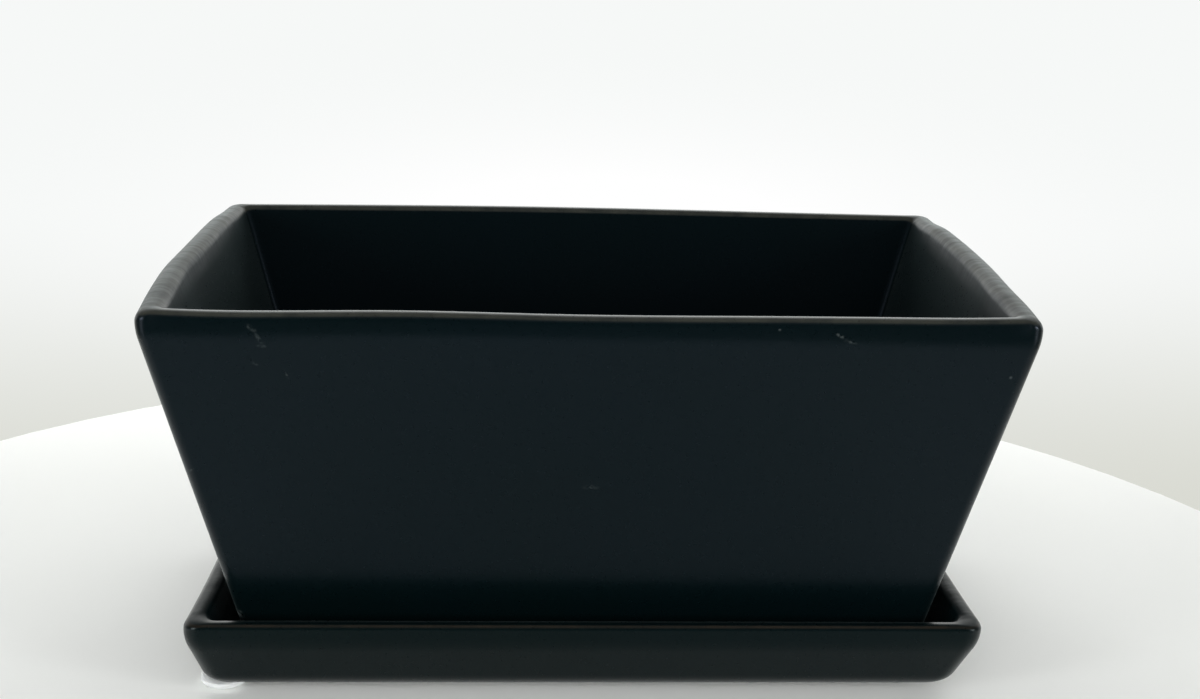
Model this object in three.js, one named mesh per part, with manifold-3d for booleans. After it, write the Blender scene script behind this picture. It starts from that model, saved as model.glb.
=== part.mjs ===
// Rectangular glazed bonsai pot, standing loose in its flared drip tray on four stick-on pads.
// Millimetres, +Z up, +X along the pot, front towards -Y. The origin is on the table, under the middle.
import * as THREE from 'three';
import { mergeVertices } from 'three/addons/utils/BufferGeometryUtils.js';
import Module from 'manifold-3d';

// Pot: the outside
const potTopLength = 201; // over the lip, at its corners
const potTopWidth = 116.5;
const potBaseLength = 163.6; // over the foot
const potBaseWidth = 81;
const potHeight = 91; // foot to lip, at the corners
const potCornerRadius = 3.2; // upright corners
const endBulge = 1.7; // each short wall bows out by this at the middle of its lip
const endRise = 0.7; // and its lip stands this much higher there
const shoulderDrop = 5.5; // the leaning wall turns upright this far below the lip
const shoulderRadius = 17;

// Pot: the wall, which thickens from the lip down to the floor
const endLipWall = 5.3; // short walls at the lip
const endLipBias = 1.6; // their lip's outer round is this many times its inner one
const sideLipWall = 4.2; // long walls at the lip
const sideLipBias = 1;
const potLipFlat = 0.4; // level strip between the lip's two rounds
const potFootWall = 12.5;
const potFloor = 9; // foot to cavity floor
const cavityCornerRadius = 1.5; // inner upright corners
const cavityFillet = 6; // where the wall runs into the floor

// Pot: the foot and the drainage
const footWidth = 9; // ring that the pot stands on
const footRecess = 2; // the ring stands below the underside by this
const footEdgeRadius = 1.5;
const drainDiameter = 12;
const drainSpacing = 72; // between the two drain holes
const drainSlotWidth = 16; // gap through the foot ring in the middle of each side

// Tray: it is sized from the foot that stands in it
const trayEndClearance = 2.75; // foot to where the tray's floor starts to rise, at each short end
const traySideClearance = 2.27; // and along each long side
const trayHeight = 19;
const trayFlare = 5.6; // each wall leans out by this from underside to lip
const trayFloor = 5.5;
const trayShoulderDrop = 5.5; // the leaning wall turns upright this far below the lip
const trayShoulderRadius = 8;
const trayLipWall = 4.4;
const trayLipFlat = 0.1;
const trayLipBias = 0.42; // the lip's outer round is this many times its inner one
const trayCornerRadius = 5;
const trayInnerCornerRadius = 4;
const trayBottomRadius = 6.2; // soft edge all round the underside
const trayFillet = 3; // where the wall runs into the floor
const trayEndHollow = 1.4; // each short wall draws in by this at the middle of its lip

// Pads: round bumpers stuck under the tray
const padDiameter = 11.5;
const padHeight = 2;
const padContact = 7.5; // flat that meets the table
const padRim = 0.5; // upright edge above the dome
const padInset = 11; // pad centre to the edge of the flat underside
const strayPadShiftX = -13; // the front left pad was stuck on further out
const strayPadShiftY = -8.5;

// Facets
const cornerSteps = 6;
const endSteps = 8;
const filletSteps = 5;
const roundSteps = 32;
const cutMargin = 1; // cutters stand this far past what they cut

const potGlaze = new THREE.MeshStandardMaterial({ color: 0x1d2326, roughness: 0.5, metalness: 0 });
const trayGlaze = new THREE.MeshStandardMaterial({ color: 0x1f2526, roughness: 0.5, metalness: 0 });
const padSilicone = new THREE.MeshStandardMaterial({ color: 0xe6e9ea, roughness: 0.45, metalness: 0 });

const wasm = await Module();
wasm.setup();

// Outline of a wall in section: each corner is { half, z, radius, corner }, where half is the distance from the
// middle, radius rounds the outline there and corner is the upright corner's radius in plan.
function roundedSection(corners) {
  const last = corners.length - 1;
  const section = [];
  corners.forEach((corner, index) => {
    if (index === 0 || index === last || !corner.radius) {
      section.push({ half: corner.half, z: corner.z, corner: corner.corner });
      return;
    }
    const before = corners[index - 1];
    const after = corners[index + 1];
    const apex = new THREE.Vector2(corner.half, corner.z);
    const back = new THREE.Vector2(before.half, before.z).sub(apex).normalize();
    const ahead = new THREE.Vector2(after.half, after.z).sub(apex).normalize();
    const halfAngle = back.angleTo(ahead) / 2;
    const middle = back.clone().add(ahead).normalize();
    const centre = apex.clone().addScaledVector(middle, corner.radius / Math.sin(halfAngle));
    const start = apex.clone().addScaledVector(back, corner.radius / Math.tan(halfAngle));
    const turn = Math.sign(back.cross(ahead)) * (2 * halfAngle - Math.PI);
    for (let step = 0; step <= filletSteps; step += 1) {
      const share = step / filletSteps;
      const point = start.clone().rotateAround(centre, turn * share);
      const planBefore = (before.corner + corner.corner) / 2;
      const planAfter = (corner.corner + after.corner) / 2;
      section.push({ half: point.x, z: point.y, corner: THREE.MathUtils.lerp(planBefore, planAfter, share) });
    }
  });
  return section;
}

// One closed ring of points round the piece: a rounded rectangle whose short sides carry extra points.
function ringPoints(alongLength, alongWidth) {
  const radius = alongLength.corner;
  const centreX = alongLength.half - radius;
  const centreY = alongWidth.half - radius;
  const points = [];
  for (let quadrant = 0; quadrant < 4; quadrant += 1) {
    const sideX = quadrant === 0 || quadrant === 3 ? 1 : -1;
    const sideY = quadrant < 2 ? 1 : -1;
    for (let step = 0; step <= cornerSteps; step += 1) {
      const angle = ((quadrant + step / cornerSteps) * Math.PI) / 2;
      const facing = Math.cos(angle) ** 2;
      const x = sideX * centreX + radius * Math.cos(angle);
      const y = sideY * centreY + radius * Math.sin(angle);
      points.push(new THREE.Vector3(x, y, THREE.MathUtils.lerp(alongWidth.z, alongLength.z, facing)));
    }
    if (quadrant % 2 === 1) {
      for (let step = 1; step < endSteps; step += 1) {
        const y = sideY * centreY * (1 - (2 * step) / endSteps);
        points.push(new THREE.Vector3(sideX * alongLength.half, y, alongLength.z));
      }
    }
  }
  return points;
}

// Closed skin through a list of rings, from the middle of the underside to the middle of the floor inside.
function loft(rings) {
  const count = rings[0].length;
  const positions = rings.flat().flatMap((point) => point.toArray());
  const indices = [];
  for (let ring = 0; ring + 1 < rings.length; ring += 1) {
    for (let step = 0; step < count; step += 1) {
      const next = (step + 1) % count;
      const low = ring * count;
      const high = low + count;
      indices.push(low + step, low + next, high + next);
      indices.push(low + step, high + next, high + step);
    }
  }
  const underside = rings.length * count;
  const floor = underside + 1;
  const lastRing = underside - count;
  positions.push(0, 0, rings[0][0].z);
  positions.push(0, 0, rings[rings.length - 1][0].z);
  for (let step = 0; step < count; step += 1) {
    const next = (step + 1) % count;
    indices.push(underside, next, step);
    indices.push(floor, lastRing + step, lastRing + next);
  }
  const geometry = new THREE.BufferGeometry();
  geometry.setAttribute('position', new THREE.Float32BufferAttribute(positions, 3));
  geometry.setIndex(indices);
  return geometry;
}

// The short walls bow out, or in, and their lip rises towards the middle, more the higher the point lies.
function bowEnds(rings, height, bulge, rise) {
  for (const points of rings) {
    const halfWidth = Math.max(...points.map((point) => point.y));
    for (const point of points) {
      const share = (1 - (point.y / halfWidth) ** 2) * (point.z / height);
      point.x += Math.sign(point.x) * bulge * share;
      point.z += rise * share;
    }
  }
  return rings;
}

function solidOf(geometry) {
  const bare = geometry.clone();
  bare.deleteAttribute('normal');
  bare.deleteAttribute('uv');
  const merged = mergeVertices(bare);
  const vertProperties = new Float32Array(merged.attributes.position.array);
  const triVerts = new Uint32Array(merged.index.array);
  return new wasm.Manifold(new wasm.Mesh({ numProp: 3, vertProperties, triVerts }));
}

function geometryOf(solid) {
  const mesh = solid.getMesh();
  const geometry = new THREE.BufferGeometry();
  geometry.setAttribute('position', new THREE.BufferAttribute(mesh.vertProperties, 3));
  geometry.setIndex(new THREE.BufferAttribute(mesh.triVerts, 1));
  return geometry;
}

// Length along either face that a round of unit radius takes up, where the wall leans in over it or away.
function roundReach(lean) {
  return 1 / Math.tan((Math.PI / 2 + Math.atan(lean)) / 2);
}

// The two rounds of a lip share its width, less the flat between them. This is the inner one's radius.
function lipRadius(width, flat, bias, outerLean, innerLean) {
  return (width - flat) / (bias * roundReach(-outerLean) + roundReach(innerLean));
}

function potSection(baseSize, topSize, lipWall, lipBias) {
  const base = baseSize / 2;
  const top = topSize / 2;
  const cavity = base - potFootWall;
  const innerLean = (top - lipWall - cavity) / (potHeight - potFloor);
  const lipInner = lipRadius(lipWall, potLipFlat, lipBias, 0, innerLean);
  return roundedSection([
    { half: base - footWidth, z: footRecess, radius: 0, corner: cavityCornerRadius },
    { half: base - footWidth, z: 0, radius: 0, corner: cavityCornerRadius },
    { half: base, z: 0, radius: footEdgeRadius, corner: potCornerRadius },
    { half: top, z: potHeight - shoulderDrop, radius: shoulderRadius, corner: potCornerRadius },
    { half: top, z: potHeight, radius: lipBias * lipInner, corner: potCornerRadius },
    { half: top - lipWall, z: potHeight, radius: lipInner, corner: cavityCornerRadius },
    { half: cavity, z: potFloor, radius: cavityFillet, corner: cavityCornerRadius },
    { half: cavity - cavityFillet, z: potFloor, radius: 0, corner: cavityCornerRadius },
  ]);
}

// One drain hole, standing clear of both faces of the floor.
function drainCutter(x) {
  const low = footRecess - cutMargin;
  const high = potFloor + cutMargin;
  const geometry = new THREE.CylinderGeometry(drainDiameter / 2, drainDiameter / 2, high - low, roundSteps);
  geometry.rotateX(Math.PI / 2);
  geometry.translate(x, 0, (low + high) / 2);
  return solidOf(geometry);
}

// A bar that opens the foot ring on two opposite sides, as deep as the recess.
function slotCutter(lengthX, lengthY) {
  const geometry = new THREE.BoxGeometry(lengthX, lengthY, footRecess + cutMargin);
  geometry.translate(0, 0, (footRecess - cutMargin) / 2);
  return solidOf(geometry);
}

function buildPot() {
  const alongLength = potSection(potBaseLength, potTopLength, endLipWall, endLipBias);
  const alongWidth = potSection(potBaseWidth, potTopWidth, sideLipWall, sideLipBias);
  const straight = alongLength.map((point, index) => ringPoints(point, alongWidth[index]));
  const rings = bowEnds(straight, potHeight, endBulge, endRise);
  const slotReach = 2 * cutMargin;
  const shell = solidOf(loft(rings))
    .subtract(drainCutter(-drainSpacing / 2))
    .subtract(drainCutter(drainSpacing / 2))
    .subtract(slotCutter(potBaseLength + slotReach, drainSlotWidth))
    .subtract(slotCutter(drainSlotWidth, potBaseWidth + slotReach));
  const pot = new THREE.Mesh(geometryOf(shell), potGlaze);
  pot.name = 'pot';
  pot.position.z = padHeight + trayFloor;
  return pot;
}

// Half sizes of the tray follow the foot: clearance, the inner fillet, the lean of the inner wall, and the lip.
const traySeatLength = potBaseLength / 2 + trayEndClearance;
const traySeatWidth = potBaseWidth / 2 + traySideClearance;
const trayLean = trayFlare / trayHeight;
const trayFloorReach = trayFillet * roundReach(trayLean);
const trayWallReach = trayFloorReach + trayLean * (trayHeight - trayFloor) + trayLipWall;

function traySection(seat) {
  const top = seat + trayWallReach;
  const base = top - trayFlare;
  const floor = seat + trayFloorReach;
  const lipInner = lipRadius(trayLipWall, trayLipFlat, trayLipBias, 0, trayLean);
  return roundedSection([
    { half: base - 2 * trayBottomRadius, z: 0, radius: 0, corner: trayInnerCornerRadius },
    { half: base, z: 0, radius: trayBottomRadius, corner: trayCornerRadius },
    { half: top, z: trayHeight - trayShoulderDrop, radius: trayShoulderRadius, corner: trayCornerRadius },
    { half: top, z: trayHeight, radius: trayLipBias * lipInner, corner: trayCornerRadius },
    { half: top - trayLipWall, z: trayHeight, radius: lipInner, corner: trayInnerCornerRadius },
    { half: floor, z: trayFloor, radius: trayFillet, corner: trayInnerCornerRadius },
    { half: floor - 2 * trayFillet, z: trayFloor, radius: 0, corner: trayInnerCornerRadius },
  ]);
}

function buildTray() {
  const alongLength = traySection(traySeatLength);
  const alongWidth = traySection(traySeatWidth);
  const straight = alongLength.map((point, index) => ringPoints(point, alongWidth[index]));
  const rings = bowEnds(straight, trayHeight, -trayEndHollow, 0);
  const tray = new THREE.Mesh(loft(rings), trayGlaze);
  tray.name = 'tray';
  tray.position.z = padHeight;
  return tray;
}

// Half size of the flat underside, inside the soft bottom edge.
function undersideHalf(seat) {
  const outerLean = trayFlare / (trayHeight - trayShoulderDrop);
  return seat + trayWallReach - trayFlare - trayBottomRadius * roundReach(outerLean);
}

// A bumper: flat contact, domed side, upright rim and the flat that sticks to the tray.
function buildPad(name, x, y) {
  const profile = [new THREE.Vector2(0, 0)];
  const domeWidth = (padDiameter - padContact) / 2;
  const domeHeight = padHeight - padRim;
  for (let step = 0; step <= filletSteps; step += 1) {
    const angle = ((step / filletSteps) * Math.PI) / 2;
    const out = padContact / 2 + domeWidth * Math.sin(angle);
    profile.push(new THREE.Vector2(out, domeHeight * (1 - Math.cos(angle))));
  }
  profile.push(new THREE.Vector2(padDiameter / 2, padHeight));
  profile.push(new THREE.Vector2(0, padHeight));
  const geometry = new THREE.LatheGeometry(profile, roundSteps);
  geometry.rotateX(Math.PI / 2);
  const pad = new THREE.Mesh(geometry, padSilicone);
  pad.name = name;
  pad.position.set(x, y, 0);
  return pad;
}

function buildPads() {
  const x = undersideHalf(traySeatLength) - padInset;
  const y = undersideHalf(traySeatWidth) - padInset;
  return [
    buildPad('pad_front_left', -x + strayPadShiftX, -y + strayPadShiftY),
    buildPad('pad_front_right', x, -y),
    buildPad('pad_back_left', -x, y),
    buildPad('pad_back_right', x, y),
  ];
}

const bonsaiPot = new THREE.Group();
bonsaiPot.add(buildPot(), buildTray(), ...buildPads());

export default bonsaiPot;
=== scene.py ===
"""Builds the looks of a rectangular glazed bonsai pot, its drip tray and its pads round the packed part."""

import math

import bpy
from bpy.props import FloatProperty, FloatVectorProperty, PointerProperty
from mathutils import Matrix, Vector, noise


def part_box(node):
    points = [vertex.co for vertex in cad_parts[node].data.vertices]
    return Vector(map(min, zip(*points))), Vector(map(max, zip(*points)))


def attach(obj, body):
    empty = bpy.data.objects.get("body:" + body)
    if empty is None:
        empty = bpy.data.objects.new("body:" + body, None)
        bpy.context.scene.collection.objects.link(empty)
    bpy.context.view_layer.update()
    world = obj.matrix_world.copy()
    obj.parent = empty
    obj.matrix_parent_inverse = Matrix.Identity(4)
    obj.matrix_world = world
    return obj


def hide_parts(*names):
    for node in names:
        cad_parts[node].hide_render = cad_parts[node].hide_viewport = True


bl_info = {
    "name": "Bonsai Pot with Tray",
    "version": (1, 0, 0),
    "blender": (4, 5, 0),
    "location": "3D View > Sidebar > Bonsai Pot",
    "description": "Builds a glazed bonsai pot, its drip tray and pads, and a table to show them on",
    "category": "Add Mesh",
}

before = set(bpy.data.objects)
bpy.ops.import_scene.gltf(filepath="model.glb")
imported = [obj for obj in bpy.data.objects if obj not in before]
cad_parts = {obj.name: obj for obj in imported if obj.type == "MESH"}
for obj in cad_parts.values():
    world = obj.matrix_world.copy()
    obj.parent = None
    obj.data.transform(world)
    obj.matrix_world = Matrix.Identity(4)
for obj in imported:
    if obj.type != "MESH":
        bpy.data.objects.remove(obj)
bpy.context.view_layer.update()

MM = 0.001
PAD_NODES = ("pad_front_left", "pad_front_right", "pad_back_left", "pad_back_right")

# How finely the forms are divided
ARC_STEPS = 10  # round a fillet or a lip
CORNER_STEPS = 12  # round an upright corner
LONG_STEPS = 60  # along a long wall
SHORT_STEPS = 48  # along a short wall
TURN_STEPS = 72  # round a turned form
POT_RUNS = (1, 1, 4, 24, 1, 1, 20, 2)  # along each straight run of the pot's section
TRAY_RUNS = (2, 8, 1, 1, 8, 2)  # along each straight run of the tray's section
SUPPORT = 0.5 * MM  # close line beside a round, which keeps the flat next to it flat
SUPPORT_SHARE = 0.4  # that line's distance as a share of a step, at most
SHARP_ANGLE = math.radians(40)

# The hand-finished rim, in millimetres: (wall, place along it, spread, shift outwards, shift upwards).
# The shifts fade out down the wall.
RIM_FINISH = (
    ("left", -21, 13, 0.55, 0.0),
    ("left", 12, 14, -0.18, 0.0),
    ("left", 0, 60, 0.2, 0.0),
    ("left", -42, 10, 0.25, 0.0),
    ("right", -29, 15, -0.4, 0.0),
    ("right", -44, 10, 0.2, 0.0),
    ("right", 57, 9, 0.5, 0.0),
    ("back", -20, 100, 0.0, 1.4),
    ("back", 0, 1000, 0.0, -1.38),
    ("front", 0, 1000, 0.0, -1.0),
    ("front", -42, 30, 0.0, 0.7),
    ("front", 60, 55, 0.0, 0.5),
    ("front", -104, 16, 0.0, 0.65),
    ("front", 104, 16, 0.0, 0.65),
)
LIP_WAVE = 0.2 * MM  # how far the inner edge of a short rim wanders
LIP_WAVE_LENGTH = 17 * MM
LIP_WAVE_ACROSS = 40 * MM  # the same across the rim, where the edge hardly changes
LIP_WAVE_LAYER = 3.7  # which slice of the noise it follows

# Where the finish of a wall takes hold and is full, as shares of the pot's half length or half width
SHORT_WALL_REACH = (0.6, 0.9)
LONG_WALL_REACH = (0.55, 0.85)
BOW_REACH = (0.2, 0.8)
END_REACH = (0.5, 0.9)

# How level a lip is, from 0 for upright to 1 for level, where its glaze thins and its sponge marks are;
# on the pot's lip the paler tone there is also a painted reflection of the light above
THIN_AND_REFLECTION_OUTSIDE = 0.55  # where the glaze starts to thin, with its painted reflection, on the outer side of the pot's lip
THIN_AND_REFLECTION_INSIDE = 0.4  # the same on its inner side
THIN_AND_REFLECTION_SPREAD = 0.23  # how much more level it is where the glaze is thinnest and the painted reflection full
TRAY_THIN_BELOW = (0.5, 0.66)
TRAY_THIN_ABOVE = (0.8, 0.92)
SPONGE_LEVELS = (0.45, 0.65)
TRAY_SPONGE_LEVELS = (0.75, 0.95)

# Depths below the pot's lip where the thin glaze with its painted reflection and the sponge marks start and
# are full
THIN_AND_REFLECTION_DEPTHS = (3 * MM, 2 * MM)
SPONGE_DEPTHS = (4 * MM, 1.5 * MM)
SPONGE_MARGINS = (1 * MM, 2 * MM)  # the same before and past the inner edge of a short rim
TRAY_SPONGE_ENDS = (8 * MM, 5 * MM)  # the same in from the ends of the tray

OVERRUN = 1 * MM  # how far a cutter reaches past what it cuts
BARE_STRIP = 0.2 * MM  # faces of the foot ring up to this height are left unglazed

# Scuffs on the front, in millimetres: (x, z, half length, half width, tilt in degrees, strength)
POT_SCUFFS = (
    (-74.9, 94.6, 1.5, 0.7, -35, 0.3),
    (-73.4, 92.2, 1.8, 0.6, -60, 0.2),
    (-72.8, 90.4, 1.3, 0.5, 0, 0.25),
    (-74.5, 86.1, 0.9, 0.5, -20, 0.25),
    (-67.9, 83.4, 1.8, 0.3, -65, 0.35),
    (54.6, 94.3, 1.9, 0.5, -30, 0.4),
    (56.8, 92.9, 2.0, 0.4, -12, 0.4),
    (41.0, 95.6, 0.5, 0.4, 0, 0.4),
    (-91.0, 58.6, 1.0, 0.5, 30, 0.5),
    (0.3, 54.9, 2.2, 0.8, 0, 0.2),
    (94.0, 84.6, 0.5, 0.5, 0, 0.4),
    (-83.4, 18.2, 1.6, 1.5, 0, 1.0),
)
TRAY_SCUFFS = (
    (-90.8, 13.4, 1.2, 0.6, -60, 0.6),
    (-89.6, 12.0, 0.9, 0.5, -40, 0.5),
    (-78.0, 6.6, 2.2, 1.0, -30, 0.25),
    (60.0, 15.0, 1.5, 0.4, 10, 0.2),
)
SCUFF_DEPTH = 9 * MM  # how far in from the front face a scuff's mask reaches

# The wall behind the table, in metres
WALL_Y = 1.5
WALL_HALF_WIDTH = 4.0
WALL_FOOT = -2.0
WALL_TOP = 3.0
WALL_DARK_HEIGHT = -0.6  # below this it has its lower tone
WALL_LIGHT_HEIGHT = -0.2  # above this it has its upper tone
GLOW_PLACE = (0.07, WALL_Y, -0.24)  # middle of a soft patch of light on it
GLOW_EXTENT = (0.85, 1.0, 0.24)  # how far out the patch fades
GLOW_FULL = 0.5  # share of its fading above which it is white
WHITE = (1.0, 1.0, 1.0, 1.0)

# Lamps, in metres: (power setting, width and height, place, point it faces, whether the glaze mirrors it)
LAMPS = (
    ("key_lamp", (1.4, 0.8), (-0.03, -1.25, 0.7), (-0.03, 0.0, 0.0), False),
    ("top_lamp", (1.2, 1.5), (0.0, -0.35, 1.35), (0.0, 0.0, 0.0), True),
    ("back_lamp", (2.0, 1.2), (0.0, 1.3, 0.55), (0.0, 0.0, 0.05), True),
    ("wash_lamp", (1.0, 0.15), (-0.03, 0.35, 0.2), (-0.03, 0.12, 0.0), False),
    ("fill_lamp", (0.8, 0.08), (-0.03, -0.32, 0.12), (-0.03, -0.02, 0.0), False),
    ("side_lamp", (0.3, 0.45), (-1.1, -0.65, 0.35), (0.0, 0.0, 0.0), True),
    ("side_panel", (0.4, 1.0), (-1.1, -0.65, 0.0), (0.0, 0.0, 0.0), True),
    ("side_lamp", (0.3, 0.45), (1.1, -0.65, 0.35), (0.0, 0.0, 0.0), True),
    ("side_panel", (0.4, 1.0), (1.1, -0.65, 0.0), (0.0, 0.0, 0.0), True),
)


def linear(hex_code):
    """Linear colour of an sRGB hex value."""
    parts = [int(hex_code[index : index + 2], 16) / 255 for index in (0, 2, 4)]
    return [part / 12.92 if part <= 0.04045 else ((part + 0.055) / 1.055) ** 2.4 for part in parts]


def per_mm(feature):
    """Texture scale that gives features of this size in millimetres."""
    return 1 / (feature * MM)


def smooth(low, high, value):
    """0 below low, 1 above high, and an even slope between them."""
    share = min(max((value - low) / (high - low), 0.0), 1.0)
    return share * share * (3 - 2 * share)


def size(name, millimetres, description):
    """A length that a user may change."""
    return FloatProperty(
        name=name,
        description=description,
        default=millimetres * MM,
        unit="LENGTH",
        subtype="DISTANCE",
        precision=4,
    )


def number(name, value, description):
    """A plain number that a user may change."""
    return FloatProperty(name=name, description=description, default=value, min=0.0)


def colour(name, hex_code, description):
    """A colour that a user may change."""
    return FloatVectorProperty(
        name=name,
        description=description,
        default=linear(hex_code),
        subtype="COLOR",
        size=3,
        min=0.0,
        max=1.0,
    )


def power(name, watts, description):
    """A lamp's power that a user may change."""
    return FloatProperty(name=name, description=description, default=watts, unit="POWER", min=0.0)


class BonsaiPotSizes(bpy.types.PropertyGroup):
    """Sizes of the pot."""

    top_length: size("Top length", 201, "Over the lip at its corners")
    top_width: size("Top width", 116.5, "Over the lip")
    base_length: size("Base length", 163.6, "Over the foot")
    base_width: size("Base width", 81, "Over the foot")
    height: size("Height", 91, "Foot to lip, at the corners")
    corner: size("Corner", 3.2, "Radius of the outer upright corners")
    end_bulge: size("End bulge", 1.7, "How far each short wall bows out at the middle of its lip")
    end_rise: size("End rise", 0.7, "How much higher a short wall's lip stands at its middle")
    shoulder_drop: size("Shoulder drop", 5.5, "How far below the lip the wall turns upright")
    shoulder_round: size("Shoulder round", 17, "Radius of that turn")
    end_lip_wall: size("End lip wall", 5.95, "Thickness of a short wall at the lip")
    end_lip_bias: number("End lip bias", 1.12, "Outer round of a short wall's lip over its inner round")
    side_lip_wall: size("Side lip wall", 4.2, "Thickness of a long wall at the lip")
    side_lip_bias: number("Side lip bias", 1.0, "Outer round of a long wall's lip over its inner round")
    lip_flat: size("Lip flat", 0.4, "Level strip between the lip's two rounds")
    foot_wall: size("Foot wall", 12.5, "Thickness at the foot")
    floor: size("Floor", 9, "Foot to cavity floor")
    inner_corner: size("Inner corner", 1.5, "Radius of the inner upright corners")
    inner_fillet: size("Inner fillet", 6, "Round between wall and floor")
    foot_width: size("Foot width", 9, "Width of the ring that the pot stands on")
    foot_recess: size("Foot recess", 2, "How far the underside lies above the foot ring")
    foot_edge: size("Foot edge", 1.5, "Round at the foot's outer edge")
    drain: size("Drain", 12, "Diameter of a drain hole")
    drain_spacing: size("Drain spacing", 72, "Between the two drain holes")
    drain_round: size("Drain round", 1.2, "Soft glazed edge of a drain hole")
    slot_width: size("Slot width", 16, "Gap through the foot ring in the middle of each side")
    slot_height: size("Slot height", 1.8, "Height of that gap")


class BonsaiTraySizes(bpy.types.PropertyGroup):
    """Sizes of the tray."""

    end_clearance: size("End clearance", 3.25, "Pot's foot to the floor's rise, at the short ends")
    side_clearance: size("Side clearance", 2.27, "Pot's foot to the floor's rise, at the long sides")
    height: size("Height", 19, "Underside to lip")
    flare: size("Flare", 5.2, "How far each wall leans out from underside to lip")
    floor: size("Floor", 5.5, "Thickness of the floor")
    shoulder_drop: size("Shoulder drop", 5, "How far below the lip the wall turns upright")
    shoulder_round: size("Shoulder round", 13, "Radius of that turn")
    lip_wall: size("Lip wall", 4.4, "Thickness at the lip")
    lip_flat: size("Lip flat", 0.1, "Level strip between the lip's two rounds")
    side_lip_bias: number("Side lip bias", 0.42, "Outer round of a long side's lip over its inner round")
    end_lip_bias: number("End lip bias", 1.0, "Outer round of a short end's lip over its inner round")
    end_hollow: size("End hollow", 1.7, "How far each short wall draws in at its middle")
    skew: size("Skew", 1.0, "How far the underside lies to the left of the lip")
    corner: size("Corner", 5, "Radius of the outer upright corners")
    inner_corner: size("Inner corner", 4, "Radius of the inner upright corners")
    bottom_round: size("Bottom round", 6.2, "Soft edge round the underside")
    inner_fillet: size("Inner fillet", 3, "Round between wall and floor")
    turn: FloatProperty(
        name="Turn",
        description="How far the tray is turned under the pot",
        default=math.radians(0.3),
        unit="ROTATION",
    )


class BonsaiPadSizes(bpy.types.PropertyGroup):
    """Sizes of the stick-on pads."""

    contact: size("Contact", 7.5, "Diameter of the flat that meets the table")
    rim: size("Rim", 0.5, "Upright edge above the dome")
    edge: size("Edge", 0.15, "Round at the upper edge")


class BonsaiFinish(bpy.types.PropertyGroup):
    """Colours of the glaze, the clay and the pads."""

    glaze: colour("Glaze", "020b0c", "Satin black glaze")
    glaze_cool: colour("Cool glaze", "020b0d", "The same where it lies thicker and turns bluer")
    # The rim glaze is partly the pot's thinned glaze and partly a painted reflection of the light above on
    # its lip
    rim_glaze_and_reflection: colour("Rim glaze", "35362f", "Where the pot's glaze thins on its lip")
    tray_rim_glaze: colour("Tray rim glaze", "201b15", "Where the tray's glaze thins and turns warmer")
    gloss: colour("Gloss", "7b8799", "Tint of what the pot mirrors face on")
    tray_gloss: colour("Tray gloss", "7d8989", "Tint of what the tray mirrors face on")
    sheen: colour("Sheen", "dcf5f5", "Tint of the soft sheen along the glaze")
    pot_sheen_weight: number("Pot sheen", 0.15, "Strength of that sheen on the pot")
    tray_sheen_weight: number("Tray sheen", 0.03, "Strength of that sheen on the tray")
    scuff: colour("Scuff", "687170", "Rubbed marks on the glaze")
    clay: colour("Clay", "8a7561", "Bare stoneware of the foot ring")
    silicone: colour("Silicone", "e0e3e3", "Stick-on pads")


class BonsaiStage(bpy.types.PropertyGroup):
    """The table, the wall, the lamps and the camera."""

    table_radius: size("Table radius", 241, "Round table top")
    table_thick: size("Table thickness", 18, "Table top's thickness")
    table: colour("Table", "f6f8f5", "Matt white table top")
    wall_high: colour("Wall above", "f6f8f7", "Wall's tone above the pot")
    # The lower wall tone is painted shade towards the table
    wall_low: colour("Wall below", "d9dad2", "Wall's tone down at the table's edge")
    key_lamp: power("Key lamp", 1.2, "Soft light above the camera, too spread to show in the glaze")
    top_lamp: power("Top lamp", 2.4, "Soft box over the table")
    back_lamp: power("Back lamp", 6.2, "Soft box between the wall and the table")
    back_tint: colour("Back lamp tint", "fffefa", "Colour of that soft box")
    side_lamp: power("Side lamps", 5.5, "Each of two small lamps, left and right")
    side_panel: power("Side panels", 2.4, "Each of two tall dim panels under those lamps")
    fill_lamp: power("Fill lamp", 0.75, "Low soft strip in front of the table")
    wash_lamp: power("Wash lamp", 1.75, "Soft strip over the far side of the table")
    room: number("Room", 0.06, "Soft light from the room all round")
    mirrored_room: number("Mirrored room", 0.14, "How bright the room looks in the glaze")
    lens: number("Lens", 49.5, "Focal length in millimetres")


def wall_section(corners, runs):
    """Points (half, height, plan radius) along a wall's section.

    Each corner is (half, height, radius, plan radius) and gets an arc unless its radius is 0. Each run
    between two corners is divided into so many steps.
    """
    arcs = []
    for index, (half, height, radius, plan) in enumerate(corners):
        if radius == 0:
            arcs.append([(half, height, plan)])
            continue
        before = corners[index - 1]
        after = corners[index + 1]
        apex = Vector((half, height))
        back = (Vector(before[:2]) - apex).normalized()
        ahead = (Vector(after[:2]) - apex).normalized()
        half_angle = back.angle(ahead) / 2
        centre = apex + (back + ahead).normalized() * (radius / math.sin(half_angle))
        spoke = apex + back * (radius / math.tan(half_angle)) - centre
        turn = math.copysign(math.pi - 2 * half_angle, -back.cross(ahead))
        plan_start = (before[3] + plan) / 2
        plan_end = (plan + after[3]) / 2
        arc = []
        for step in range(ARC_STEPS + 1):
            share = step / ARC_STEPS
            point = centre + Matrix.Rotation(turn * share, 2) @ spoke
            arc.append((point.x, point.y, plan_start + (plan_end - plan_start) * share))
        arcs.append(arc)
    section = list(arcs[0])
    for before, arc, steps in zip(arcs, arcs[1:], runs):
        start = Vector(before[-1])
        end = Vector(arc[0])
        section += [tuple(start.lerp(end, share)) for share in run_shares((end - start).length, steps)]
        section += arc
    return section


def run_shares(length, steps):
    """Places along a straight run as shares of it, ends left out, with a close one beside each end."""
    if steps < 2:
        return []
    close = min(SUPPORT / length, SUPPORT_SHARE / steps)
    return [close] + [step / steps for step in range(1, steps)] + [1 - close]


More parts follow.
